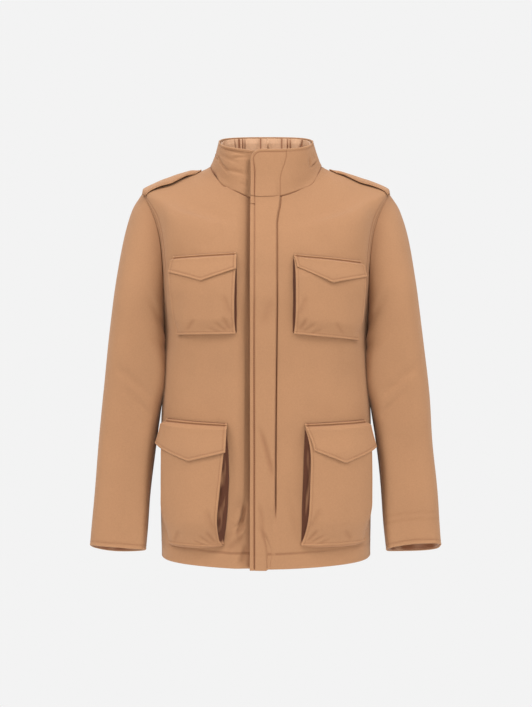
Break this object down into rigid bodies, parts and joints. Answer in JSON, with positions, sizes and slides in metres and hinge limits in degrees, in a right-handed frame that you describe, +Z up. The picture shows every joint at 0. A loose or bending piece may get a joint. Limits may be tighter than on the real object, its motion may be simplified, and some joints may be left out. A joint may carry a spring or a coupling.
{
  "type": "field jacket",
  "caption": "Hip-length field jacket, filled out as if worn, hollow, with stand collar, covered centre closing, shoulder straps and pointed-flap bellows pockets.",
  "frame": {"origin": "middle of the neck, level with the top of the shoulders, where the wearer's shoulders carry the jacket", "axes": "+Z up along the wearer's spine, -Y the way the wearer faces, +X towards the wearer's left"},
  "size_m": [0.636, 0.3034, 0.7937],
  "materials": {
    "camel_cloth": "close plain weave with a faint sheen",
    "camel_gusset": "the same cloth, lighter in weight and in shade",
    "camel_lining": "satin, quilted in the collar"
  },
  "bodies": {
    "root": {"back": "camel_cloth", "right_front": "camel_cloth", "left_front": "camel_cloth", "right_sleeve_upper": "camel_cloth", "right_sleeve_lower": "camel_cloth", "right_cuff": "camel_cloth", "left_sleeve_upper": "camel_cloth", "left_sleeve_lower": "camel_cloth", "left_cuff": "camel_cloth", "right_cuff_lining": "camel_lining", "left_cuff_lining": "camel_lining", "right_epaulette": "camel_cloth", "left_epaulette": "camel_cloth", "placket": "camel_cloth", "collar": "camel_cloth", "collar_tab": "camel_cloth", "collar_lining": "camel_lining", "right_chest_bag": "camel_cloth", "right_chest_gusset": "camel_gusset", "right_chest_flap": "camel_cloth", "left_chest_bag": "camel_cloth", "left_chest_gusset": "camel_gusset", "left_chest_flap": "camel_cloth", "right_lower_bag": "camel_cloth", "right_lower_gusset": "camel_gusset", "right_lower_flap": "camel_cloth", "left_lower_bag": "camel_cloth", "left_lower_gusset": "camel_gusset", "left_lower_flap": "camel_cloth"}
  },
  "joints": []
}
